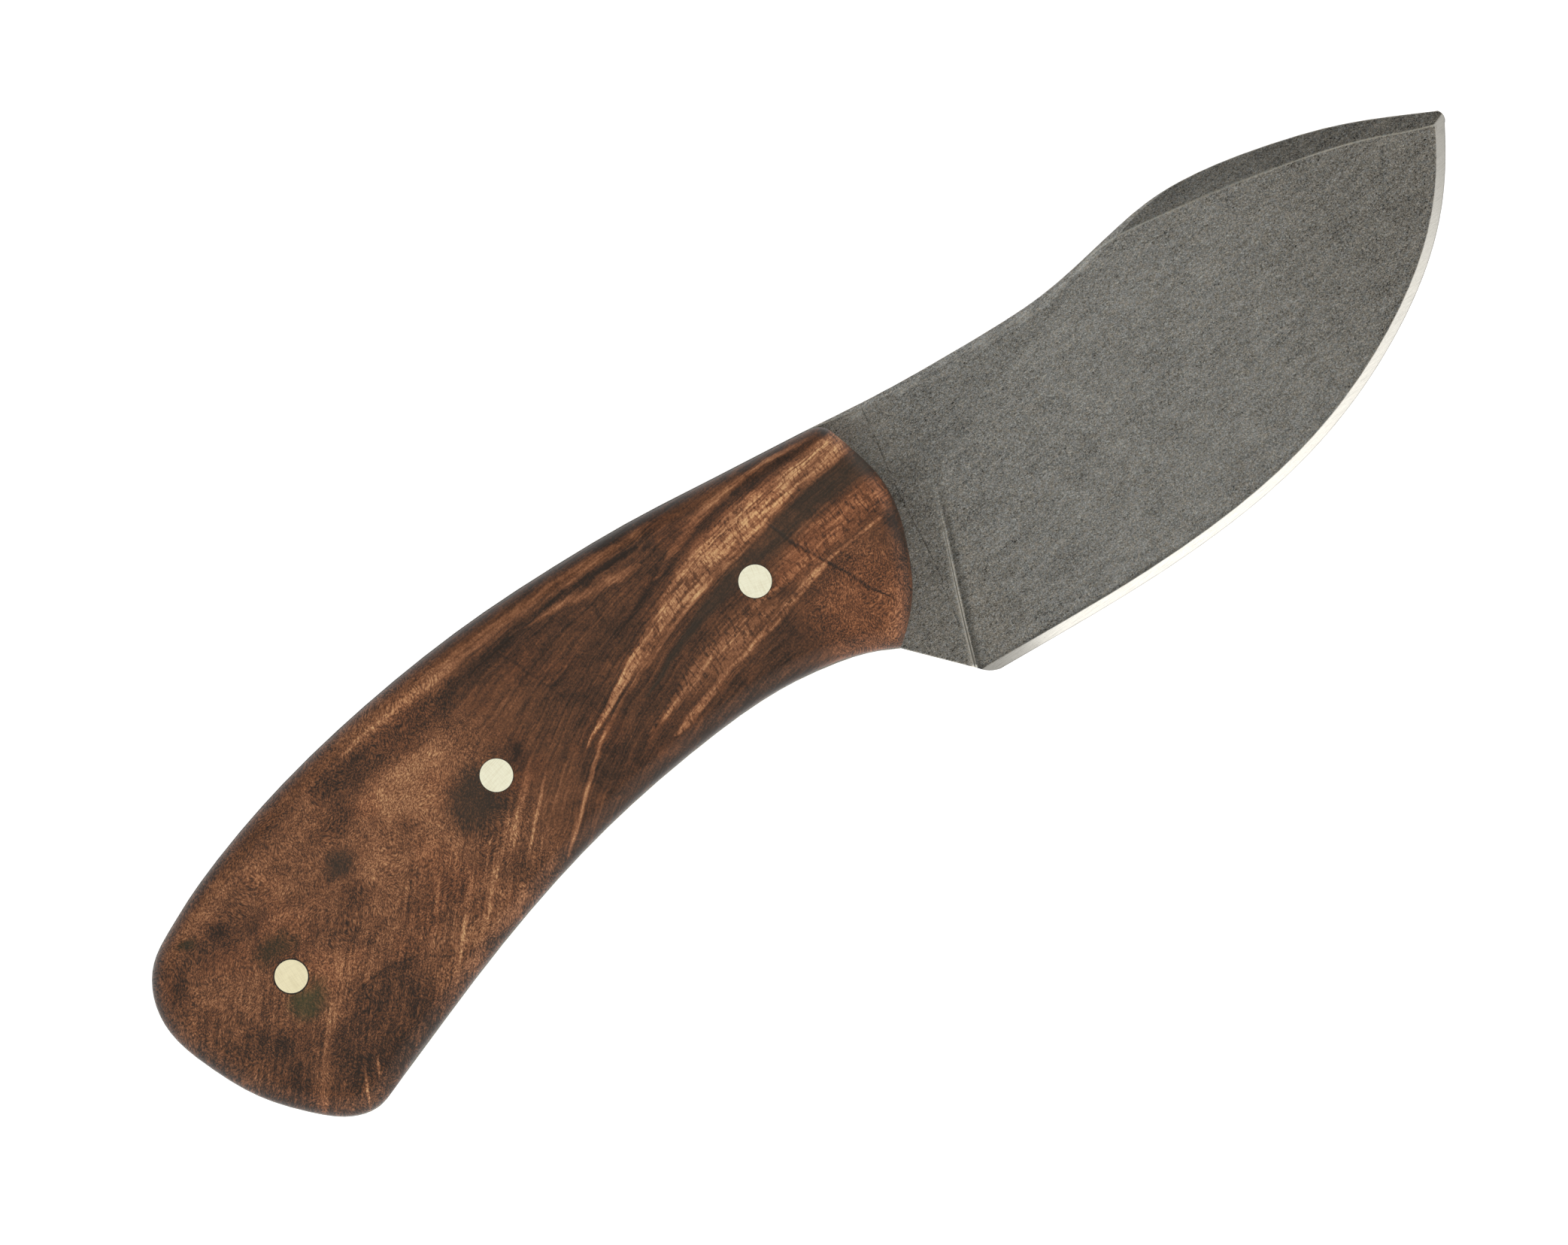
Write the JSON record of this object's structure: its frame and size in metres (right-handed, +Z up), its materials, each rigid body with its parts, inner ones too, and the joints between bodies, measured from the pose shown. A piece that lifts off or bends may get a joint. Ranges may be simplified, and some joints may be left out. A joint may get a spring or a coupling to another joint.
{
  "type": "fixed-blade whittling knife",
  "caption": "Full-tang fixed-blade knife with a deep humped blade, burl wood handle slabs, brass pins and a curved beaked grip.",
  "frame": {"origin": "on the ground under the middle of the knife's bounding box; the knife lies on its left handle slab, whose outer face is at Z = 0", "axes": "+X along the knife from the butt to the tip, +Y across the blade from the cutting edge to the spine, +Z up through the thickness, out of the right-hand side"},
  "size_m": [0.2232, 0.0508, 0.022],
  "materials": {
    "steel": "stonewashed grey flats with a polished cutting bevel",
    "burl_wood": "oiled and sanded brown burl",
    "brass": "fine sanded, pale",
    "epoxy": "dark hardened glue"
  },
  "bodies": {
    "root": {"blade": "steel", "right_scale": "burl_wood", "left_scale": "burl_wood", "front_pin": "brass", "middle_pin": "brass", "rear_pin": "brass", "right_epoxy_bond": "epoxy", "left_epoxy_bond": "epoxy"}
  },
  "joints": []
}
